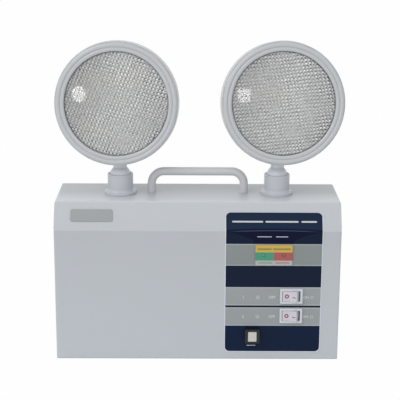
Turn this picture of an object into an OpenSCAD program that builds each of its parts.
// Twin head emergency light: a folded steel case with two swivelling flood heads.
// Millimetres. The origin is the centre of the base, X runs to the viewer's right,
// Y runs to the back and Z runs up.

/* [Case] */
// Width of the case, side to side
case_w = 270; // [262:1:320]
// Depth of the case, front to back
case_d = 81; // [79:1:100]
// Height of the case without the heads
case_h = 153.5; // [150:0.5:190]
// Thickness of the steel sheet
wall = 1.2; // [0.8:0.1:1.6]
// Height of the sloped panel above the fold in the front
slope_h = 25; // [18:0.5:34]
// Distance that the sloped panel leans back
slope_back = 14.7; // [8:0.1:20]
// Outer radius of the folds
fold_r = 1.5; // [1:0.1:3]
// Outer radius of the folds between the top and the sides
top_fold_r = 2.2; // [1:0.1:4]
// Width of the lip that the back cover is screwed to
lip_w = 12; // [9:0.5:16]
// Depth of the back cover below the rim of the case
cover_recess = 2.6; // [2.4:0.1:4]
// Thickness of the back cover
cover_t = 1.2; // [0.8:0.1:2]
// Distance between the two wall hanging holes
hanger_span = 170; // [120:1:190]
// Distance of the wall hanging holes below the top
hanger_drop = 35.5; // [28:0.5:44]
// Radius of the wall hanging holes
hanger_r = 4.5; // [3.5:0.1:6]
// Radius of the mains cord hole in its grommet
cord_r = 3.3; // [2.5:0.1:4]

/* [Handle] */
// Diameter of the handle rod
rod_d = 8; // [6:0.5:10]
// Distance between the handle's legs
handle_span = 89; // [70:0.2:100]
// Height of the handle's centre line above the case
handle_rise = 20.6; // [16:0.2:30]
// Centre line radius of the handle's bends
handle_bend_r = 12; // [8:0.5:15]
// Distance of the handle behind the middle of the case
handle_y = 9; // [6:0.5:14]

/* [Heads] */
// Distance between the two swivel posts
post_span = 150.6; // [140:0.2:180]
// Distance of the posts' middle to the right of the case's middle
post_shift = 0.8; // [0:0.1:3]
// Distance of the posts behind the middle of the case
post_y = 5; // [2:0.5:10]
// Diameter of the swivel ball
ball_d = 20; // [18:0.5:22]
// Height of the ball's centre above the case
ball_rise = 17.8; // [16:0.1:22]
// Diameter of the neck above the ball
neck_d = 12.9; // [11:0.1:13.4]
// Outer diameter of the swivel collar's cup
cup_d = 24.5; // [23.8:0.1:28]
// Outer diameter of the collar's flange
flange_d = 30.8; // [28:0.2:36]
// Outer diameter of the lamp bezel
bezel_d = 117.6; // [110:0.2:124]
// Diameter of the lens that shows inside the bezel
lens_d = 98.2; // [92:0.2:99]
// Depth of the head, from the bezel's front to the back of the shell
head_depth = 52; // [49:0.5:60]
// Height of the lamp's centre above the swivel ball
lamp_rise = 70.2; // [69:0.2:80]
// Distance of the neck behind the front of the bezel
neck_back = 24; // [20:0.5:28]
// Shallow finger grips round the bezel
grip_n = 10; // [6:1:16]
// Turn of the left head about its post, outwards
left_turn = 1.6; // [0:0.1:8]
// Outward lean of the left head
left_lean = 1.5; // [0:0.1:4]
// Upward tilt of the left head
left_tilt = 5.4; // [0:0.1:8]
// Turn of the right head about its post, outwards
right_turn = 2.3; // [0:0.1:8]
// Outward lean of the right head
right_lean = 2.9; // [0:0.1:4]
// Upward tilt of the right head
right_tilt = 7.5; // [0:0.1:8]

/* [Controls] */
// Width of the control label
label_w = 91.5; // [80:0.5:100]
// Distance of the control label from the side of the case
label_side = 17.5; // [8:0.5:24]
// Bottom edge of the control label above the base
label_z = 8.1; // [5:0.1:12]
// Height of the control label on the sloped panel, measured along it
label_rise = 18.3; // [10:0.1:20]
// Distance of the rocker switches' centre line from the label's right edge
rocker_side_in = 28.5; // [16:0.5:32]
// Distance of the left lamp's switch below the fold
rocker_drop = 63.5; // [60:0.5:66]
// Distance between the two rocker switches
rocker_pitch = 19.6; // [17:0.2:24]
// Width of a rocker switch's frame
rocker_w = 21.4; // [20:0.1:23]
// Height of a rocker switch's frame
rocker_h = 14.7; // [14:0.1:16]
// Angle between a rocker's two positions
rocker_throw = 24; // [16:1:28]
// Distance of the test switch's centre from the label's left edge
test_side_in = 26.5; // [12:0.5:32]
// Height of the test switch above the label's bottom edge
test_rise = 17; // [12:0.1:20]
// Side of the square test switch
test_w = 13.8; // [13:0.1:16]
// Width of the status plate
status_w = 34.8; // [30:0.2:38]
// Height of the status plate
status_h = 20; // [17:0.5:22]
// Distance of the status plate's centre below the fold
status_drop = 23.1; // [18:0.1:26]
// Width of the plain badge plate
badge_w = 39.5; // [30:0.5:50]
// Height of the plain badge plate
badge_h = 11.7; // [8:0.1:14]
// Distance of the badge plate from the side of the case
badge_side = 15.4; // [8:0.1:30]
// Centre of the badge plate above the fold, measured along the slope
badge_rise = 14.75; // [11:0.25:16]

/* [Inside] */
// Gap between the charger board's edge and the battery
board_gap = 6.8; // [5:0.1:12]
// Depth behind the battery for its bracket's foot
bracket_foot = 9.3; // [8.5:0.1:14]
// Height of the sealed battery's case
battery_h = 94; // [70:1:98]
// Width of the transformer's laminated core
core_w = 57; // [44:1:58]
// Height of the transformer's laminated core
core_h = 47.5; // [36:0.5:50]
// Thickness of the transformer's laminated core
core_t = 28; // [20:1:30]
// Width of the charger board
board_w = 92; // [86:1:92]
// Distance of the charger board below the case's top sheet
board_drop = 16.3; // [12:0.1:18]

/* [Hidden] */
$fn = 72;

// Clearances and overruns shared by all pieces
over = 1;
fit = 0.1;
slip = 0.3;
swivel_fit = 0.08;

// Case planes
front_y = -case_d / 2;
back_y = case_d / 2;
fold_z = case_h - slope_h;
slope_y = front_y + slope_back;
slope_a = atan(slope_back / slope_h);
inner_w = case_w - 2 * wall;
cover_y = back_y - cover_recess;
lip_y = cover_y - cover_t;
room_y = lip_y - wall;
front_in = front_y + wall;
top_in = case_h - wall;
opening_w = inner_w - 2 * lip_w;
opening_z0 = wall + lip_w;
opening_h = top_in - lip_w - opening_z0;
cover_gap = 0.4;
cover_w = inner_w - 2 * cover_gap;
cover_h = top_in - wall - 2 * cover_gap;
cover_mid_z = (wall + top_in) / 2;

// Back cover fasteners and holes
screw_r = 1.7;
screw_len = 8;
screw_head_r = 3.4;
screw_head_h = 2.1;
screw_recess = 1.1;
screw_inset = wall + lip_w / 2;
keyhole_slot_w = 4.6;
keyhole_rise = 9;
grommet_wall = 2.2;
grommet_flange_w = 2.4;
grommet_groove_r = cord_r + grommet_wall;
grommet_r = grommet_groove_r + grommet_flange_w;
grommet_lip = 1.5;
grommet_side = 97;
grommet_x = case_w / 2 - grommet_side;
grommet_z = 22;
hanger_z = case_h - hanger_drop;

// Handle ends
rod_r = rod_d / 2;
leg_below = 14;
washer_t = 1.6;
washer_r = rod_d;
handle_nut_r = rod_d * 0.9;
handle_nut_t = rod_d * 0.6;
handle_top_z = case_h + handle_rise;

// Swivel collar
post_x = post_span / 2;
cove_r = 2.4;
ball_r = ball_d / 2;
ball_z = case_h + ball_rise;
neck_r = neck_d / 2;
cup_r = cup_d / 2;
flange_r = flange_d / 2;
flange_t = 2.9;
flange_edge_r = 1;
cone_h = 1.9;
cone_w = 1.4;
cone_r = cup_r + cone_w;
rim_rise = 1.9;
rim_z = ball_rise + rim_rise;
rim_round_r = 0.8;
socket_r = ball_r + swivel_fit;
mouth_chamfer = 0.5;
seat_floor = 5;
seat_below = 3.8;
seat_top = ball_rise - seat_below;
seat_bore_r = 6;
stud_r = 6;
stud_bore_r = 4.2;
stud_below = 13;
collar_washer_t = 1;
collar_washer_r = 10;
collar_nut_r = 9.8;
collar_nut_t = 4;
thrust_gap = 0.1;

// Head shell and what it holds, as radii and depths behind the bezel's front
bezel_r = bezel_d / 2;
lens_r = lens_d / 2;
shell_wall = 2.2;
bezel_depth = 9;
bezel_wall = 2.2;
lip_t = 3;
inner_bead_r = 2.4;
inner_bead_in = 1.9;
inner_bead_front = 0.3;
outer_bead_r = 2.4;
outer_bead_in = 3.9;
outer_bead_front = 0;
shoulder_r = 2.2;
shoulder_in = 2.9;
shoulder_front = 0.7;
lens_t = 2;
lens_dome = 3;
lens_curve_r = (lens_r * lens_r + lens_dome * lens_dome) / (2 * lens_dome);
shell_inset = 0.4;
shell_r = bezel_r - shell_inset;
shell_neck_r = bezel_r - bezel_wall - slip;
rim_flange_r = shell_neck_r;
reflector_t = 1.2;
shell_front = lip_t + lens_t + reflector_t;
shell_step = bezel_depth + slip;
shell_round_from = 22;
shell_round_r = head_depth - shell_round_from;
grip_angle = 360 / grip_n;
grip_depth = 2.1;
grip_lean = 11.3;
grip_flat_r = 78;
grip_cut_w = 2 * bezel_r * tan(grip_angle / 2);
grip_cut_in = 5;
grip_cut_out = 16;
left_grip_turn = 4.2;
right_grip_turn = 0.9;

// Reflector dish: a sphere through its rim and its neck
dish_rim_w = 2;
dish_rim_r = lens_r - dish_rim_w;
dish_neck_r = 8;
dish_depth = 34;
dish_span = dish_depth - shell_front;
dish_c = (dish_depth * dish_depth - shell_front * shell_front
    - dish_rim_r * dish_rim_r + dish_neck_r * dish_neck_r) / (2 * dish_span);
dish_r = norm([dish_neck_r, dish_depth - dish_c]);
dish_collar_end = 38;
dish_collar_t = 1.4;
bulb_r = 5.5;
bulb_t = 25;
bulb_stem_r = 4;
bulb_cap_r = 4.9;
bulb_cap_from = 33;
bulb_cap_to = 40;
holder_r = dish_neck_r - 2 * fit;
holder_from = 31;
holder_to = 44;
holder_flange_r = 11;
holder_flange_t = 2;
holder_tab_w = 4.8;
holder_tab_t = 0.8;
holder_tab_len = 3.5;

// Ball stem and its seat in the shell
boss_z = 12;
boss_r = 8.5;
pad_top = 19.5;
stem_stud_r = 4.5;
stem_stud_top = 26;
stem_bore_r = 2.6;
stem_nut_r = 7.6;
stem_nut_t = 4;

// Controls on the front
label_x = case_w / 2 - label_side - label_w / 2;
rocker_x = label_x + label_w / 2 - rocker_side_in;
rocker_upper_z = fold_z - rocker_drop;
rocker_lower_z = rocker_upper_z - rocker_pitch;
test_x = label_x - label_w / 2 + test_side_in;
test_z = label_z + test_rise;
status_x = label_x;
status_z = fold_z - status_drop;
badge_x = badge_side + badge_w / 2 - case_w / 2;
film_t = 0.4;
film_corner_r = 5;
film_y = front_y - film_t;
plate_t = 1.2;
plate_corner_r = 1;
badge_t = 0.8;
badge_corner_r = 1.5;
rocker_proud = 2;
rocker_corner_r = 1;
rocker_frame_side = 2.1;
rocker_frame_end = 2.05;
rocker_lap_side = 1.2;
rocker_lap_end = 1;
window_w = rocker_w - 2 * rocker_frame_side;
window_h = rocker_h - 2 * rocker_frame_end;
rocker_body_w = rocker_w - 2 * rocker_lap_side;
rocker_body_h = rocker_h - 2 * rocker_lap_end;
rocker_body_depth = 14;
rocker_floor_t = 1.4;
pivot_depth = 6;
pivot_pin_r = 1;
pivot_pin_len = 0.8;
rocker_arc_r = 9.8;
rocker_side = window_w / 2 - slip;
rocker_swell = 0.06;
rocker_flush = pivot_depth + rocker_swell;
rocker_len = window_h - 2 * slip;
rocker_skirt = 4;
tab_w = 4.8;
tab_t = 0.8;
tab_len = 7;
tab_pitch = 6.4;
panel_fit = 0.15;
test_proud = 4.5;
test_corner_r = 0.8;
test_lap = 0.9;
test_body_w = test_w - 2 * test_lap;
test_body_depth = 10;
test_wall = 0.8;
cap_side = 2.95;
cap_end = 2.15;
cap_w = test_w - 2 * cap_side;
cap_h = test_w - 2 * cap_end;
cap_proud = 0.5;
cap_depth = 5.6;
cap_corner_r = 0.6;
collar_from = 1.3;
collar_t = 0.9;
collar_edge = 0.6;
lip_test_t = 1;
spring_r = 2.6;
spring_wire_r = 0.3;
spring_turns = 5;
spring_rings = 8;
spring_back = test_wall - test_body_depth;
spring_front = test_proud + cap_proud - cap_depth;
spring_rise = spring_front - spring_back - 2 * spring_wire_r - 2 * fit;
led_r = 1.5;
led_flange_r = 1.9;
led_flange_t = 0.8;
led_proud = 0.9;
led_len = 5;
led_leg_r = 0.25;
led_leg_gap = 1.27;
led_up = 0.3;
led_z = status_z + led_up;
led_green_share = -0.28;
led_red_share = 0.267;
led_green_x = status_x + led_green_share * status_w;
led_red_x = status_x + led_red_share * status_w;
led_y = film_y - plate_t - led_proud;
led_board_y = front_in + led_flange_t + led_len;
led_board_w = 30;
led_board_h = 12;
board_t = 1.6;

// Battery and its bracket
battery_wall_gap = 4;
board_side_gap = 13.8;
bay_w = board_side_gap + board_w + board_gap;
battery_w = inner_w - battery_wall_gap - bay_w;
battery_x = -inner_w / 2 + battery_wall_gap + battery_w / 2;
battery_front_gap = 0.5;
battery_d = room_y - front_in - battery_front_gap - bracket_foot;
battery_y = front_in + battery_front_gap + battery_d / 2;
battery_back = battery_y + battery_d / 2;
battery_top = wall + battery_h;
battery_corner_r = 2.5;
battery_lid_h = 8;
battery_groove = 0.5;
terminal_w = 4.8;
terminal_t = 0.8;
terminal_h = 6.3;
terminal_base_h = 1.2;
terminal_base_w = 8;
terminal_inset = 8;
bracket_w = 30;
bracket_t = 1.5;
bracket_reach = 40;
bracket_gap = 0.4;
bracket_foot_len = bracket_foot - bracket_gap;
floor_stud_r = 1.5;
floor_stud_h = 6;
small_nut_r = 3.1;
small_nut_t = 2.4;

// Transformer
core_window_share = 0.5;
coil_over = 6;
coil_back_gap = 3.5;
strap_t = 1;
strap_w = 16;
strap_foot = 9;
strap_side_gap = 3.3;
core_x = inner_w / 2 - strap_side_gap - strap_foot - strap_t - core_w / 2;
core_y = room_y - coil_back_gap - coil_over - core_t / 2;

// Charger board and what is on it
board_above_core = 12.3;
board_low = wall + core_h + strap_t + board_above_core;
board_h = top_in - board_drop - board_low;
board_x = inner_w / 2 - board_side_gap - board_w / 2;
board_z = board_low + board_h / 2;
standoff_len = 8;
standoff_r = 3;
standoff_stub_r = 1.6;
board_back = lip_y - standoff_len;
board_front = board_back - board_t;
standoff_inset = 5;
block_w = 8;
block_h = 45;
block_d = 10;
block_ways = 8;
block_margin = 3;
block_drop = 1;
block_x = board_x - board_w / 2 + block_w / 2 + block_margin;
block_z = board_z - block_drop;
block_hole_r = 1.3;
block_pitch = 5;
relay_size = [19, 15, 15.5];
relay_x_share = -0.24;
relay_z_share = 0.19;
capacitor_r = 6.5;
capacitor_len = 17;
capacitor_x_share = 0.087;
capacitor_z_share = 0.284;
capacitor_x = board_x + capacitor_x_share * board_w;
capacitor_z = board_z + capacitor_z_share * board_h;
capacitor_pitch = 17;
sink_w = 30;
sink_h_share = 0.35;
sink_h = sink_h_share * board_h;
sink_d = 16;
sink_fins = 6;
sink_x_share = 0.043;
sink_z_share = -0.378;
sink_base_t = 3;
sink_fin_t = 1.5;

// Leads
lead_r = 1.1;
lamp_lead_r = 1.3;
lead_sides = 8;
lead_steps = 4;
way_back = board_front - block_d / 2;
block_left = block_x - block_w / 2;

// Routes of the battery leads, from each terminal to its way in the block
battery_routes = [
    [
        [-121.8, -30.8, 101.6], [-121.8, -30.8, 106], [-112, -26, 110], [-60, -16, 108],
        [0, 4, 108], [18, 17, 106.5], [25, 22, 105.5], [30.9, 22.1, 105.5]
    ],
    [
        [13.2, -30.8, 101.6], [13.2, -30.8, 106], [15, -26, 109], [20, -8, 104],
        [19, 12, 101.5], [25, 21.5, 100.5], [30.9, 22.1, 100.5]
    ]
];

// Routes of the lamp leads, from inside each hollow stud to the block
lamp_routes = [
    [
        [-74.5, 5, 158.5], [-74.5, 5, 140], [-74.4, 5, 134], [-65, 4, 129],
        [-30, 8, 127], [6, 15, 122], [24, 22, 116], [30.9, 22.1, 115.5]
    ],
    [
        [76.1, 5, 158.5], [76.1, 5, 140], [76, 5, 134], [66, 4, 128], [44, 4, 123],
        [26, 8, 117], [20, 17, 113], [25, 22, 111], [30.9, 22.1, 110.5]
    ]
];

// Route of the lead in a head, from the bulb holder down through the stem, about the ball
head_route = [
    [0, 18, 62], [0, 18, 58.2], [0, 13.5, 47], [0, 4.5, 35], [0, 0, 27], [0, 0, 5], [0, 0, -5]
];

// Unit vector along v
function unit(v) = v / norm(v);

// Place across of a swivel post, side being -1 or 1
function post_at(side) = post_shift + side * post_x;

// Cross product of two plane vectors
function turn(a, b) = a[0] * b[1] - a[1] * b[0];

// Point where the line through p along u meets the line through q along v
function meet(p, u, q, v) = p + u * turn(q - p, v) / turn(u, v);

// A convex outline moved inwards by d, its points running anticlockwise
function inset(pts, d) = let(n = len(pts)) [
    for (i = [0:n - 1])
        let(u = unit(pts[i] - pts[(i + n - 1) % n]), v = unit(pts[(i + 1) % n] - pts[i]))
        meet(pts[i] + d * [-u[1], u[0]], u, pts[i] + d * [-v[1], v[0]], v)
];

// Where a corner's round starts, its centre, and where the round ends
function corner(a, b, c, r) = let(
    u = unit(a - b),
    v = unit(c - b),
    half = acos(u * v) / 2
) [b + u * r / tan(half), b + unit(u + v) * r / sin(half), b + v * r / tan(half)];

// A convex outline with round corners
module rounded_outline(pts, r) {
    n = len(pts);
    corners = [for (i = [0:n - 1]) corner(pts[(i + n - 1) % n], pts[i], pts[(i + 1) % n], r)];
    polygon([for (c = corners, i = [0, 2]) c[i]]);
    for (c = corners)
        translate(c[1]) circle(r);
}

// A rectangle about the origin with round corners
module rounded_rect(w, h, r) {
    rounded_outline([[-w, -h] / 2, [w, -h] / 2, [w, h] / 2, [-w, h] / 2], r);
}

// Extrudes an outline of Y and Z sideways through the case
module across(w) {
    rotate([90, 0, 90]) linear_extrude(w, center = true) children();
}

// Extrudes an outline of X and Z backwards from y
module backwards(y, d) {
    translate([0, y + d, 0]) rotate([90, 0, 0]) linear_extrude(d) children();
}

// Stands a piece on the front at x and z, its own Z pointing at the viewer
module on_front(x, z, y = film_y) {
    translate([x, y, z]) rotate([90, 0, 0]) children();
}

// Stands a piece on the sloped panel, its own Z pointing out of the panel
module on_slope(x, rise) {
    translate([x, front_y, fold_z]) rotate([-slope_a, 0, 0])
        translate([0, 0, rise]) rotate([90, 0, 0]) children();
}

// A box with round edges along Z, standing on its base
module rounded_block(w, d, h, r) {
    linear_extrude(h) rounded_rect(w, d, r);
}

// A hexagonal nut round a shaft of radius r, standing on its base
module nut(nut_r, r, t) {
    difference() {
        cylinder(r = nut_r, h = t, $fn = 6);
        translate([0, 0, -over]) cylinder(r = r, h = t + 2 * over);
    }
}

// A washer round a shaft of radius r, standing on its base
module washer(washer_r, r, t) {
    difference() {
        cylinder(r = washer_r, h = t);
        translate([0, 0, -over]) cylinder(r = r, h = t + 2 * over);
    }
}

// Outline of the case from the side, in Y and Z
function side_outline(rear = back_y) = [
    [front_y, 0], [rear, 0], [rear, case_h], [slope_y, case_h], [front_y, fold_z]
];

// The case's outer form, its rear rim flat to stand against a wall
module case_form() {
    intersection() {
        across(case_w) rounded_outline(side_outline(back_y + fold_r), fold_r);
        backwards(front_y, case_d) {
            translate([0, case_h / 2]) rounded_rect(case_w, case_h, top_fold_r);
            translate([0, case_h / 4]) rounded_rect(case_w, case_h / 2, fold_r);
        }
        linear_extrude(case_h) translate([0, fold_r / 2])
            rounded_rect(case_w, case_d + fold_r, fold_r);
    }
}

// Cut-outs in the front for the switches and lights, from the film to the inside
module front_cuts(gap) {
    cut_d = wall + film_t + 2 * over;
    for (z = [rocker_upper_z, rocker_lower_z])
        translate([rocker_x, front_in + over, z]) rotate([90, 0, 0])
            rounded_block(rocker_body_w + 2 * gap, rocker_body_h + 2 * gap, cut_d, gap + fit);
    translate([test_x, front_in + over, test_z]) rotate([90, 0, 0])
        rounded_block(test_body_w + 2 * gap, test_body_w + 2 * gap, cut_d, gap + fit);
    for (x = [led_green_x, led_red_x])
        translate([x, front_in + over, led_z]) rotate([90, 0, 0])
            cylinder(r = led_r + fit, h = cut_d);
}

// Where the feet of the battery bracket and the transformer strap are held
function floor_studs() = [
    [battery_x, battery_back + bracket_t + (bracket_foot_len - bracket_t) / 2],
    [core_x - core_w / 2 - strap_t - strap_foot / 2, core_y],
    [core_x + core_w / 2 + strap_t + strap_foot / 2, core_y]
];

// Corners where the back cover is screwed to the lip
function cover_screw_places() = [
    for (x = [-1, 1], z = [screw_inset, case_h - screw_inset]) [x * (case_w / 2 - screw_inset), z]
];

module housing_shell() {
    color("gainsboro") {
        difference() {
            case_form();
            intersection() {
                across(inner_w) polygon(inset(side_outline(), wall));
                translate([-inner_w / 2, front_y, 0]) cube([inner_w, room_y - front_y, case_h]);
            }
            translate([-opening_w / 2, room_y - over, opening_z0])
                cube([opening_w, case_d, opening_h]);
            translate([-inner_w / 2, lip_y, wall])
                cube([inner_w, case_d, top_in - wall]);
            front_cuts(panel_fit);
            for (x = [post_at(-1), post_at(1)])
                translate([x, post_y, top_in - over])
                    cylinder(r = stud_r + swivel_fit, h = wall + 2 * over);
            for (x = [-handle_span / 2, handle_span / 2])
                translate([x, handle_y, top_in - over])
                    cylinder(r = rod_r + fit, h = wall + 2 * over);
            for (p = cover_screw_places())
                translate([p[0], room_y - over, p[1]]) rotate([-90, 0, 0])
                    cylinder(r = screw_r, h = wall + 2 * over);
        }
        for (p = floor_studs())
            translate([p[0], p[1], wall / 2]) cylinder(r = floor_stud_r, h = floor_stud_h);
    }
}

module back_cover() {
    color("silver") difference() {
        translate([-cover_w / 2, lip_y, cover_mid_z - cover_h / 2])
            cube([cover_w, cover_t, cover_h]);
        for (p = cover_screw_places())
            translate([p[0], lip_y - over, p[1]]) rotate([-90, 0, 0])
                cylinder(r = screw_r + fit, h = cover_t + 2 * over);
        for (x = [-hanger_span / 2, hanger_span / 2]) {
            translate([x, lip_y - over, hanger_z]) rotate([-90, 0, 0])
                cylinder(r = hanger_r, h = cover_t + 2 * over);
            translate([x - keyhole_slot_w / 2, lip_y - over, hanger_z])
                cube([keyhole_slot_w, cover_t + 2 * over, keyhole_rise]);
            translate([x, lip_y - over, hanger_z + keyhole_rise]) rotate([-90, 0, 0])
                cylinder(r = keyhole_slot_w / 2, h = cover_t + 2 * over);
        }
        translate([grommet_x, lip_y - over, grommet_z]) rotate([-90, 0, 0])
            cylinder(r = grommet_groove_r, h = cover_t + 2 * over);
        for (p = standoff_places())
            translate([p[0], lip_y - over, p[1]]) rotate([-90, 0, 0])
                cylinder(r = standoff_stub_r, h = cover_t + 2 * over);
    }
}

module cover_screws() {
    color("lightgray") for (p = cover_screw_places())
        translate([p[0], cover_y, p[1]]) rotate([-90, 0, 0]) difference() {
            union() {
                cylinder(r = screw_head_r, h = screw_head_h);
                translate([0, 0, -screw_len]) cylinder(r = screw_r, h = screw_len);
            }
            for (a = [0, 90])
                rotate([0, 0, a]) translate([0, 0, screw_head_h])
                    cube([screw_head_r * 1.2, screw_r / 2, screw_recess * 2], center = true);
        }
}

module mains_grommet() {
    lip_in = grommet_lip;
    color("dimgray") translate([grommet_x, lip_y, grommet_z]) rotate([-90, 0, 0])
        rotate_extrude() difference() {
            translate([cord_r, -lip_in]) square([grommet_r - cord_r, cover_t + lip_in + grommet_lip]);
            translate([grommet_groove_r, 0]) square([grommet_r, cover_t]);
        }
}

module carry_handle() {
    leg_x = handle_span / 2;
    leg_top = handle_top_z - handle_bend_r;
    color("lightgray") translate([0, handle_y, 0]) {
        for (side = [-1, 1]) {
            translate([side * leg_x, 0, top_in - leg_below])
                cylinder(r = rod_r, h = leg_top - top_in + leg_below);
            translate([side * (leg_x - handle_bend_r), 0, leg_top])
                rotate([90, 0, 0]) rotate([0, 0, side > 0 ? 0 : 90])
                    rotate_extrude(angle = 90) translate([handle_bend_r, 0]) circle(rod_r);
        }
        translate([0, 0, handle_top_z]) rotate([0, 90, 0])
            cylinder(r = rod_r, h = handle_span - 2 * handle_bend_r, center = true);
    }
}

module handle_nuts() {
    color("silver") for (x = [-handle_span / 2, handle_span / 2])
        translate([x, handle_y, top_in - washer_t]) {
            washer(washer_r, rod_r, washer_t);
            translate([0, 0, -handle_nut_t]) nut(handle_nut_r, rod_r, handle_nut_t);
        }
}

module control_label() {
    label_top = fold_z + label_rise * cos(slope_a);
    color("midnightblue") difference() {
        intersection() {
            translate([label_x, 0, 0]) difference() {
                across(label_w) rounded_outline(inset(side_outline(), -film_t), fold_r + film_t);
                across(label_w + 2 * over) rounded_outline(side_outline(), fold_r);
            }
            backwards(front_y - 2 * over, slope_back + 2 * over)
                translate([label_x, (label_z + label_top) / 2])
                    rounded_rect(label_w, label_top - label_z, film_corner_r);
        }
        front_cuts(panel_fit);
    }
}

module badge_plate() {
    color("lightgray") on_slope(badge_x, badge_rise)
        rounded_block(badge_w, badge_h, badge_t, badge_corner_r);
}

module status_plate() {
    color("lightgray") difference() {
        on_front(status_x, status_z) rounded_block(status_w, status_h, plate_t, plate_corner_r);
        for (x = [led_green_x, led_red_x])
            on_front(x, led_z) translate([0, 0, -over]) cylinder(r = led_r + fit, h = plate_t + 2 * over);
    }
}

// A small domed indicator light with two legs into the indicator board
module indicator_light(x) {
    dome_y = led_y + led_r;
    translate([x, dome_y, led_z]) sphere(led_r);
    translate([x, dome_y, led_z]) rotate([-90, 0, 0]) cylinder(r = led_r, h = front_in - dome_y);
    translate([x, front_in, led_z]) rotate([-90, 0, 0]) cylinder(r = led_flange_r, h = led_flange_t);
    for (side = [-1, 1])
        translate([x + side * led_leg_gap, front_in + led_flange_t - fit, led_z]) rotate([-90, 0, 0])
            cylinder(r = led_leg_r, h = led_len + fit);
}

module status_led_green() {
    color("mediumseagreen") indicator_light(led_green_x);
}

module status_led_red() {
    color("indianred") indicator_light(led_red_x);
}

module indicator_board() {
    color("seagreen") translate([status_x - led_board_w / 2, led_board_y, led_z - led_board_h / 2])
        cube([led_board_w, board_t, led_board_h]);
}

// A rocker switch's frame and body, open to the front, with bores for the rocker's pins
module rocker_frame(z) {
    on_front(rocker_x, z) difference() {
        union() {
            rounded_block(rocker_w, rocker_h, rocker_proud, rocker_corner_r);
            translate([0, 0, -rocker_body_depth])
                rounded_block(rocker_body_w, rocker_body_h, rocker_body_depth + over, fit);
        }
        translate([-window_w / 2, -window_h / 2, rocker_floor_t - rocker_body_depth])
            cube([window_w, window_h, rocker_body_depth + rocker_proud]);
        translate([0, 0, rocker_proud - pivot_depth]) rotate([90, 0, 0])
            cylinder(r = pivot_pin_r + swivel_fit, h = rocker_h, center = true);
    }
}

module left_rocker_frame() {
    color("whitesmoke") rocker_frame(rocker_upper_z);
}

module right_rocker_frame() {
    color("whitesmoke") rocker_frame(rocker_lower_z);
}

// Section of a rocker about its pivot, halfway between its two positions
module rocker_section() {
    reach = 2 * rocker_arc_r;
    half = rocker_throw / 2;
    intersection() {
        circle(rocker_arc_r);
        union() {
            rotate(half) translate([-reach, -reach]) square([2 * reach, reach + rocker_flush]);
            rotate(-half) translate([-reach, -reach]) square([2 * reach, reach + rocker_flush]);
        }
        rotate(half) square([2 * rocker_side, 2 * reach], center = true);
        rotate(-half) square([2 * rocker_side, 2 * reach], center = true);
        translate([-reach, -rocker_skirt]) square([2 * reach, reach + rocker_skirt]);
    }
}

// A rocker at rest, its left half pressed in and its right half raised
module rocker(z) {
    on_front(rocker_x, z) translate([0, 0, rocker_proud - pivot_depth]) rotate([90, 0, 0]) {
        rotate([0, 0, rocker_throw / 2])
            linear_extrude(rocker_len, center = true) rocker_section();
        cylinder(r = pivot_pin_r, h = rocker_len + 2 * (slip + pivot_pin_len), center = true);
    }
}

module left_lamp_rocker() {
    color("white") rocker(rocker_upper_z);
}

module right_lamp_rocker() {
    color("white") rocker(rocker_lower_z);
}

module switch_tabs() {
    tab_y = film_y + rocker_body_depth;
    color("goldenrod") {
        for (z = [rocker_upper_z, rocker_lower_z], i = [-1:1])
            translate([rocker_x + i * tab_pitch - tab_t / 2, tab_y, z - tab_w / 2])
                cube([tab_t, tab_len, tab_w]);
        for (side = [-1, 1])
            translate([test_x + side * tab_pitch / 2 - tab_t / 2, film_y + test_body_depth,
                test_z - tab_w / 2])
                cube([tab_t, tab_len, tab_w]);
    }
}

module test_switch_housing() {
    neck_w = test_body_w - 2 * test_wall;
    front_room_w = cap_w + 2 * (slip + collar_edge);
    front_room_h = cap_h + 2 * (slip + collar_edge);
    color("black") on_front(test_x, test_z) difference() {
        union() {
            rounded_block(test_w, test_w, test_proud, test_corner_r);
            translate([0, 0, -test_body_depth])
                rounded_block(test_body_w, test_body_w, test_body_depth + over, fit);
        }
        translate([0, 0, -over]) translate([-cap_w / 2 - slip, -cap_h / 2 - slip, 0])
            cube([cap_w + 2 * slip, cap_h + 2 * slip, test_proud + 2 * over]);
        translate([-front_room_w / 2, -front_room_h / 2, 0])
            cube([front_room_w, front_room_h, test_proud - lip_test_t]);
        translate([-neck_w / 2, -cap_h / 2 + slip, test_wall - test_body_depth])
            cube([neck_w, cap_h - 2 * slip, test_body_depth]);
    }
}

module test_button() {
    cap_back = test_proud + cap_proud - cap_depth;
    collar_back = test_proud - collar_from - collar_t;
    color("ivory") on_front(test_x, test_z) {
        translate([0, 0, collar_back])
            rounded_block(cap_w, cap_h, test_proud + cap_proud - collar_back, cap_corner_r);
        translate([0, 0, collar_back]) rounded_block(cap_w + 2 * collar_edge, cap_h + 2 * collar_edge,
            collar_t, cap_corner_r);
        translate([0, 0, cap_back])
            cylinder(r = spring_r + spring_wire_r, h = collar_back - cap_back + fit);
    }
}

// Route of the test button's return spring, one coil of wire
function spring_route() = [
    for (i = [0:spring_turns * spring_rings])
        let(a = 360 * i / spring_rings, share = i / (spring_turns * spring_rings))
        [spring_r * cos(a), spring_r * sin(a), spring_back + spring_wire_r + fit + share * spring_rise]
];

module test_spring() {
    color("silver") on_front(test_x, test_z) tube(spring_route(), spring_wire_r, 6);
}

module battery_case() {
    color("dimgray") translate([battery_x, battery_y, wall]) difference() {
        rounded_block(battery_w, battery_d, battery_h, battery_corner_r);
        translate([0, 0, battery_h - battery_lid_h - battery_groove]) difference() {
            translate([-battery_w, -battery_d, 0]) cube([2 * battery_w, 2 * battery_d, battery_groove]);
            translate([0, 0, -over]) rounded_block(battery_w - 2 * battery_groove,
                battery_d - 2 * battery_groove, 3 * over, battery_corner_r);
        }
    }
}

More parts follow.
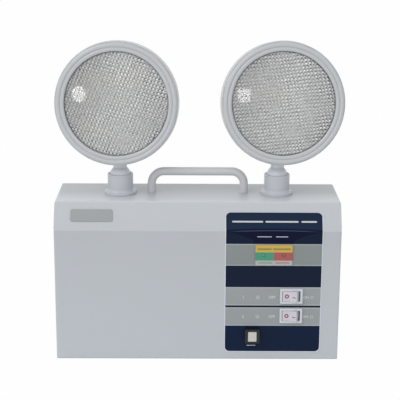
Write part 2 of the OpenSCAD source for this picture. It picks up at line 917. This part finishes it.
// The two battery terminals, left and right, in front
function terminal_places() = [
    for (side = [-1, 1])
        [battery_x + side * (battery_w / 2 - terminal_inset), battery_y - battery_d / 2 + terminal_inset]
];

module battery_terminals() {
    color("gold") for (p = terminal_places())
        translate([p[0], p[1], battery_top]) {
            translate([-terminal_base_w / 2, -terminal_base_w / 2, 0])
                cube([terminal_base_w, terminal_base_w, terminal_base_h]);
            translate([-terminal_w / 2, -terminal_t / 2, 0])
                cube([terminal_w, terminal_t, terminal_h]);
        }
}

module battery_bracket() {
    stud = floor_studs()[0];
    color("silver") difference() {
        translate([battery_x, 0, 0]) across(bracket_w) polygon([
            [battery_back, wall],
            [battery_back + bracket_foot_len, wall],
            [battery_back + bracket_foot_len, wall + bracket_t],
            [battery_back + bracket_t, wall + bracket_t],
            [battery_back + bracket_t, battery_top + bracket_t],
            [battery_back - bracket_reach, battery_top + bracket_t],
            [battery_back - bracket_reach, battery_top],
            [battery_back, battery_top]
        ]);
        translate([stud[0], stud[1], 0]) cylinder(r = floor_stud_r + fit, h = floor_stud_h);
    }
}

module transformer_core() {
    leg_w = core_w / 6;
    window_h = core_h * core_window_share;
    color("slategray") translate([core_x, core_y, wall]) difference() {
        translate([-core_w / 2, -core_t / 2, 0]) cube([core_w, core_t, core_h]);
        for (side = [-1, 1])
            translate([side * leg_w * 1.5 - leg_w / 2, -core_t, (core_h - window_h) / 2])
                cube([leg_w, 2 * core_t, window_h]);
    }
}

module transformer_coil() {
    leg_w = core_w / 6;
    window_h = core_h * core_window_share;
    coil_out_w = 4 * leg_w - 2 * fit;
    coil_z = wall + (core_h - window_h) / 2 + fit;
    color("chocolate") translate([core_x, core_y, coil_z]) difference() {
        translate([-coil_out_w / 2, -core_t / 2 - coil_over, 0])
            cube([coil_out_w, core_t + 2 * coil_over, window_h - 2 * fit]);
        translate([-leg_w - fit, -core_t / 2 - fit, -over])
            cube([2 * (leg_w + fit), core_t + 2 * fit, window_h + 2 * over]);
    }
}

module transformer_bracket() {
    half = core_w / 2;
    studs = floor_studs();
    color("silver") difference() {
        translate([core_x, 0, wall]) backwards(core_y - strap_w / 2, strap_w) polygon([
            [-half - strap_t - strap_foot, 0],
            [-half, 0],
            [-half, core_h],
            [half, core_h],
            [half, 0],
            [half + strap_t + strap_foot, 0],
            [half + strap_t + strap_foot, strap_t],
            [half + strap_t, strap_t],
            [half + strap_t, core_h + strap_t],
            [-half - strap_t, core_h + strap_t],
            [-half - strap_t, strap_t],
            [-half - strap_t - strap_foot, strap_t]
        ]);
        for (i = [1, 2])
            translate([studs[i][0], studs[i][1], 0]) cylinder(r = floor_stud_r + fit, h = floor_stud_h);
    }
}

module bracket_nuts() {
    studs = floor_studs();
    color("silver") for (i = [0:2])
        translate([studs[i][0], studs[i][1], wall + (i == 0 ? bracket_t : strap_t)])
            nut(small_nut_r, floor_stud_r, small_nut_t);
}

// Corners where the charger board stands off the back cover
function standoff_places() = [
    for (x = [-1, 1], z = [-1, 1])
        [board_x + x * (board_w / 2 - standoff_inset), board_z + z * (board_h / 2 - standoff_inset)]
];

module circuit_board() {
    color("darkgreen") difference() {
        translate([board_x - board_w / 2, board_front, board_z - board_h / 2])
            cube([board_w, board_t, board_h]);
        for (p = standoff_places())
            translate([p[0], board_front - over, p[1]]) rotate([-90, 0, 0])
                cylinder(r = standoff_stub_r, h = board_t + 2 * over);
    }
}

module board_standoffs() {
    color("silver") for (p = standoff_places())
        translate([p[0], board_back, p[1]]) rotate([-90, 0, 0]) {
            cylinder(r = standoff_r, h = standoff_len);
            translate([0, 0, -board_t])
                cylinder(r = standoff_stub_r, h = board_t + standoff_len + cover_t);
        }
}

module relay() {
    color("royalblue")
        translate([
            board_x + relay_x_share * board_w,
            board_front - relay_size[1],
            board_z + relay_z_share * board_h
        ])
            cube(relay_size);
}

module capacitors() {
    color("midnightblue") for (i = [0, 1])
        translate([capacitor_x + i * capacitor_pitch, board_front, capacitor_z])
            rotate([90, 0, 0]) cylinder(r = capacitor_r, h = capacitor_len);
}

module heat_sink() {
    pitch = (sink_w - sink_fin_t) / (sink_fins - 1);
    sink_x = board_x + sink_x_share * board_w;
    sink_z = board_z + sink_z_share * board_h;
    color("lightslategray") translate([sink_x, board_front - sink_d, sink_z]) {
        translate([0, sink_d - sink_base_t, 0]) cube([sink_w, sink_base_t, sink_h]);
        for (i = [0:sink_fins - 1])
            translate([i * pitch, 0, 0]) cube([sink_fin_t, sink_d, sink_h]);
    }
}

// Height of the middle of each way in the terminal block, from the bottom up
function way_z(i) = block_z + (i - (block_ways - 1) / 2) * block_pitch;

module terminal_block() {
    color("mediumseagreen") difference() {
        translate([block_left, board_front - block_d, block_z - block_h / 2])
            cube([block_w, block_d, block_h]);
        for (i = [0:block_ways - 1]) {
            translate([block_left - over, way_back, way_z(i)]) rotate([0, 90, 0])
                cylinder(r = block_hole_r, h = block_w / 2 + over);
            translate([block_left + block_w / 2, board_front - block_d - over, way_z(i)])
                rotate([-90, 0, 0]) cylinder(r = block_hole_r, h = block_d / 2 + over);
        }
    }
}

// Smooth route through hand-chosen points
function blend(a, b, c, d, t) = 0.5 * (2 * b + (c - a) * t + (2 * a - 5 * b + 4 * c - d) * t * t
    + (3 * b - a - 3 * c + d) * t * t * t);
function smooth(p, steps) = let(n = len(p)) [
    for (i = [0:n - 2], s = [0:steps - 1])
        blend(p[max(i - 1, 0)], p[i], p[i + 1], p[min(i + 2, n - 1)], s / steps),
    p[n - 1]
];

// Direction of a route at its point i
function heading(p, i) = unit(p[min(i + 1, len(p) - 1)] - p[max(i - 1, 0)]);

// Side vectors carried along a route without twist
function carry(p, i, side) = let(d = heading(p, i)) unit(side - d * (side * d));
function sides_along(p, i, side) = i == len(p) ? [] :
    let(s = carry(p, i, side)) concat([s], sides_along(p, i + 1, s));

// A closed tube of radius r along route p
module tube(p, r, n) {
    d0 = heading(p, 0);
    start = abs(d0[2]) < 0.9 ? [0, 0, 1] : [1, 0, 0];
    side = sides_along(p, 0, start);
    rings = len(p);
    pts = [
        for (i = [0:rings - 1], k = [0:n - 1])
            let(s = side[i], t = cross(heading(p, i), s))
            p[i] + r * (cos(360 * k / n) * s + sin(360 * k / n) * t)
    ];
    walls = [
        for (i = [0:rings - 2], k = [0:n - 1], half = [0, 1])
            let(a = i * n + k, b = i * n + (k + 1) % n)
            half == 0 ? [a, b + n, b] : [a, a + n, b + n]
    ];
    last = (rings - 1) * n;
    caps = [for (k = [1:n - 2], end = [0, 1]) end == 0 ? [0, k, k + 1] : [last, last + k + 1, last + k]];
    polyhedron(points = pts, faces = concat(walls, caps), convexity = 10);
}

module battery_leads() {
    for (i = [0, 1])
        color(i == 0 ? "black" : "red") tube(smooth(battery_routes[i], lead_steps), lead_r, lead_sides);
}

module lamp_leads() {
    color("gray") {
        for (route = lamp_routes)
            tube(smooth(route, lead_steps), lamp_lead_r, lead_sides);
    }
}

// Puts the children at a swivel ball, turned and leaned as the head on that side rests
module at_ball(side) {
    swing = side < 0 ? -left_turn : right_turn;
    lean = side < 0 ? -left_lean : right_lean;
    tilt = side < 0 ? left_tilt : right_tilt;
    translate([post_at(side), post_y, ball_z])
        rotate([0, 0, swing]) rotate([0, lean, 0]) rotate([-tilt, 0, 0]) children();
}

// Puts the children on the lamp's axis at the bezel's front, their Z pointing backwards
module at_lamp(side) {
    at_ball(side) translate([0, -neck_back, lamp_rise]) rotate([-90, 0, 0]) children();
}

// Cup, flange and hollow stud in one turned piece, standing on the case
module collar(side) {
    mouth_z = rim_z - thrust_gap;
    translate([post_at(side), post_y, case_h + thrust_gap]) rotate_extrude() difference() {
        union() {
            translate([stud_bore_r, -stud_below])
                square([stud_r - stud_bore_r, stud_below + seat_floor]);
            translate([stud_bore_r, 0]) square([flange_r - flange_edge_r - stud_bore_r, flange_t]);
            translate([stud_bore_r, 0]) square([flange_r - stud_bore_r, flange_t - flange_edge_r]);
            translate([flange_r - flange_edge_r, flange_t - flange_edge_r]) circle(flange_edge_r);
            polygon([
                [stud_bore_r, flange_t], [cone_r, flange_t], [cup_r, flange_t + cone_h],
                [stud_bore_r, flange_t + cone_h]
            ]);
            translate([stud_bore_r, flange_t])
                square([cup_r - stud_bore_r, mouth_z - rim_round_r - flange_t]);
            translate([stud_bore_r, flange_t])
                square([cup_r - rim_round_r - stud_bore_r, mouth_z - flange_t]);
            translate([cup_r - rim_round_r, mouth_z - rim_round_r]) circle(rim_round_r);
        }
        translate([0, seat_floor]) square([socket_r, ball_rise - thrust_gap - seat_floor]);
        translate([0, ball_rise - thrust_gap]) circle(socket_r);
        polygon([
            [0, mouth_z - mouth_chamfer],
            [socket_r - rim_round_r / 4, mouth_z - mouth_chamfer],
            [socket_r + mouth_chamfer, mouth_z + fit],
            [0, mouth_z + fit]
        ]);
    }
}

// Washer and lock nut under the case's top, on the collar's stud
module collar_nut(side) {
    translate([post_at(side), post_y, top_in - thrust_gap - collar_washer_t]) {
        washer(collar_washer_r, stud_r, collar_washer_t);
        translate([0, 0, -collar_nut_t]) nut(collar_nut_r, stud_r, collar_nut_t);
    }
}

// Ring in the cup that carries the ball on a spherical face
module ball_seat(side) {
    translate([post_at(side), post_y, case_h + thrust_gap]) rotate_extrude() difference() {
        translate([seat_bore_r, seat_floor])
            square([socket_r - fit - seat_bore_r, seat_top - seat_floor]);
        translate([0, ball_rise - thrust_gap]) circle(socket_r);
    }
}

// Section of the cove between the neck and the ball
module stem_cove() {
    cove_x = neck_r + cove_r;
    cove_z = sqrt(pow(ball_r + cove_r, 2) - cove_x * cove_x);
    touch = [cove_x, cove_z] * ball_r / (ball_r + cove_r);
    difference() {
        polygon([[0, touch[1]], touch, [neck_r, cove_z], [0, cove_z]]);
        translate([cove_x, cove_z]) circle(cove_r);
    }
}

// Ball, neck and threaded end in one piece, bored for the lead
module ball_stem(side) {
    at_ball(side) difference() {
        union() {
            sphere(ball_r);
            cylinder(r = neck_r, h = boss_z);
            rotate_extrude() stem_cove();
            cylinder(r = stem_stud_r, h = stem_stud_top);
        }
        translate([0, 0, -2 * ball_r]) cylinder(r = stem_bore_r, h = 2 * ball_r + stem_stud_top + over);
    }
}

module stem_nut(side) {
    at_ball(side) translate([0, 0, pad_top]) nut(stem_nut_r, stem_stud_r, stem_nut_t);
}

// Outline of the shell's solid, its radius against its depth, moved inwards by g
module shell_outline(g) {
    arc_x = shell_r - shell_round_r;
    square([shell_neck_r - g, shell_round_from]);
    translate([0, shell_step]) square([shell_r - g, shell_round_from - shell_step]);
    translate([0, shell_round_from]) square([arc_x, shell_round_r - g]);
    intersection() {
        translate([arc_x, shell_round_from]) circle(shell_round_r - g);
        translate([0, shell_round_from - over]) square([shell_r, shell_round_r + over]);
    }
}

module head_shell(side) {
    difference() {
        union() {
            at_lamp(side) rotate_extrude() difference() {
                shell_outline(0);
                shell_outline(shell_wall);
                translate([0, -over]) square([bezel_d, shell_front + over]);
            }
            at_ball(side) translate([0, 0, boss_z]) cylinder(r = boss_r, h = pad_top - boss_z);
        }
        at_ball(side) cylinder(r = stem_stud_r + fit, h = stem_stud_top);
    }
}

// Section of the bezel: two soft beads, then a shoulder that widens to the skirt
module bezel_section() {
    inner_x = lens_r + inner_bead_in;
    outer_x = bezel_r - outer_bead_in;
    shoulder_x = bezel_r - shoulder_in;
    intersection() {
        union() {
            translate([inner_x, inner_bead_front + inner_bead_r]) circle(inner_bead_r);
            translate([outer_x, outer_bead_front + outer_bead_r]) circle(outer_bead_r);
            translate([shoulder_x, shoulder_front + shoulder_r]) circle(shoulder_r);
            translate([lens_r, lip_t / 2]) square([bezel_r - shoulder_in - lens_r, lip_t / 2]);
        }
        translate([lens_r, 0]) square([bezel_r - lens_r, lip_t]);
    }
    polygon([
        [bezel_r - bezel_wall, shoulder_front + shoulder_r],
        [shoulder_x + shoulder_r, shoulder_front + shoulder_r],
        [bezel_r, bezel_depth],
        [bezel_r - bezel_wall, bezel_depth]
    ]);
}

// What a finger grip takes off the bezel's edge: a block with a hollow of large radius
module grip_cut() {
    translate([bezel_r - grip_depth - grip_flat_r / cos(grip_lean), 0, 0]) rotate([0, grip_lean, 0])
        translate([0, 0, -bezel_depth]) difference() {
            translate([grip_flat_r - grip_cut_in, -grip_cut_w / 2, 0])
                cube([grip_cut_out, grip_cut_w, 3 * bezel_depth]);
            translate([0, 0, -bezel_depth]) cylinder(r = grip_flat_r, h = 5 * bezel_depth, $fn = 360);
        }
}

// Ring that clips over the shell and holds the lens, with finger grips round its edge
module bezel_ring(side) {
    phase = side < 0 ? left_grip_turn : right_grip_turn;
    at_lamp(side) difference() {
        rotate_extrude($fn = 180) bezel_section();
        for (i = [0:grip_n - 1])
            rotate([0, 0, 90 + phase + grip_angle * (i + 0.5)]) grip_cut();
    }
}

// Clear cover, domed towards the viewer, with a flat rim under the bezel
module lens(side) {
    at_lamp(side) rotate_extrude($fn = 180) {
        intersection() {
            difference() {
                translate([0, lens_curve_r]) circle(lens_curve_r, $fn = 720);
                translate([0, lens_curve_r + lens_t]) circle(lens_curve_r, $fn = 720);
            }
            square([lens_r, lip_t + lens_t]);
        }
        translate([lens_r - over, lip_t]) square([rim_flange_r - lens_r + over, lens_t]);
    }
}

// Spherical dish with a rim behind the lens and a collar round the bulb holder
module reflector(side) {
    rim_t0 = lip_t + lens_t;
    at_lamp(side) rotate_extrude() {
        intersection() {
            difference() {
                translate([0, dish_c]) circle(dish_r + reflector_t, $fn = 180);
                translate([0, dish_c]) circle(dish_r, $fn = 180);
            }
            translate([dish_neck_r, rim_t0]) square([lens_r, dish_depth - rim_t0]);
        }
        translate([dish_rim_r + over, rim_t0]) square([rim_flange_r - dish_rim_r - over, reflector_t]);
        translate([dish_neck_r, dish_depth - dish_collar_t])
            square([dish_collar_t, dish_collar_end - dish_depth + dish_collar_t]);
    }
}

module bulb(side) {
    at_lamp(side) {
        translate([0, 0, bulb_t]) sphere(bulb_r);
        translate([0, 0, bulb_t]) cylinder(r = bulb_stem_r, h = bulb_cap_from - bulb_t + fit);
        translate([0, 0, bulb_cap_from]) cylinder(r = bulb_cap_r, h = bulb_cap_to - bulb_cap_from);
    }
}

module bulb_holder(side) {
    at_lamp(side) {
        difference() {
            union() {
                translate([0, 0, holder_from]) cylinder(r = holder_r, h = holder_to - holder_from);
                translate([0, 0, dish_collar_end]) cylinder(r = holder_flange_r, h = holder_flange_t);
            }
            translate([0, 0, holder_from - over])
                cylinder(r = bulb_cap_r, h = bulb_cap_to - holder_from + over);
        }
        for (x = [-1, 1])
            translate([x * holder_r / 2 - holder_tab_t / 2, -holder_tab_w / 2, holder_to])
                cube([holder_tab_t, holder_tab_w, holder_tab_len]);
    }
}

module head_lead(side) {
    at_ball(side) tube(smooth(head_route, lead_steps), lamp_lead_r, lead_sides);
}

module left_collar() {
    color("gainsboro") collar(-1);
}

module left_collar_nut() {
    color("silver") collar_nut(-1);
}

module left_ball_seat() {
    color("dimgray") ball_seat(-1);
}

module left_ball_stem() {
    color("lightgray") ball_stem(-1);
}

module left_stem_nut() {
    color("silver") stem_nut(-1);
}

module left_head_shell() {
    color("gainsboro") head_shell(-1);
}

module left_bezel_ring() {
    color("lightgray") bezel_ring(-1);
}

module left_lens() {
    color("lightcyan", 0.4) lens(-1);
}

module left_reflector() {
    color("silver") reflector(-1);
}

module left_bulb() {
    color("white") bulb(-1);
}

module left_bulb_holder() {
    color("ivory") bulb_holder(-1);
}

module left_head_lead() {
    color("gray") head_lead(-1);
}

module right_collar() {
    color("gainsboro") collar(1);
}

module right_collar_nut() {
    color("silver") collar_nut(1);
}

module right_ball_seat() {
    color("dimgray") ball_seat(1);
}

module right_ball_stem() {
    color("lightgray") ball_stem(1);
}

module right_stem_nut() {
    color("silver") stem_nut(1);
}

module right_head_shell() {
    color("gainsboro") head_shell(1);
}

module right_bezel_ring() {
    color("lightgray") bezel_ring(1);
}

module right_lens() {
    color("lightcyan", 0.4) lens(1);
}

module right_reflector() {
    color("silver") reflector(1);
}

module right_bulb() {
    color("white") bulb(1);
}

module right_bulb_holder() {
    color("ivory") bulb_holder(1);
}

module right_head_lead() {
    color("gray") head_lead(1);
}

housing_shell();
back_cover();
cover_screws();
mains_grommet();
carry_handle();
handle_nuts();
control_label();
badge_plate();
status_plate();
status_led_green();
status_led_red();
indicator_board();
left_rocker_frame();
right_rocker_frame();
left_lamp_rocker();
right_lamp_rocker();
switch_tabs();
test_switch_housing();
test_button();
test_spring();
battery_case();
battery_terminals();
battery_bracket();
battery_leads();
transformer_core();
transformer_coil();
transformer_bracket();
bracket_nuts();
circuit_board();
board_standoffs();
relay();
capacitors();
heat_sink();
terminal_block();
lamp_leads();
left_collar();
left_collar_nut();
left_ball_seat();
left_ball_stem();
left_stem_nut();
left_head_shell();
left_bezel_ring();
left_lens();
left_reflector();
left_bulb();
left_bulb_holder();
left_head_lead();
right_collar();
right_collar_nut();
right_ball_seat();
right_ball_stem();
right_stem_nut();
right_head_shell();
right_bezel_ring();
right_lens();
right_reflector();
right_bulb();
right_bulb_holder();
right_head_lead();
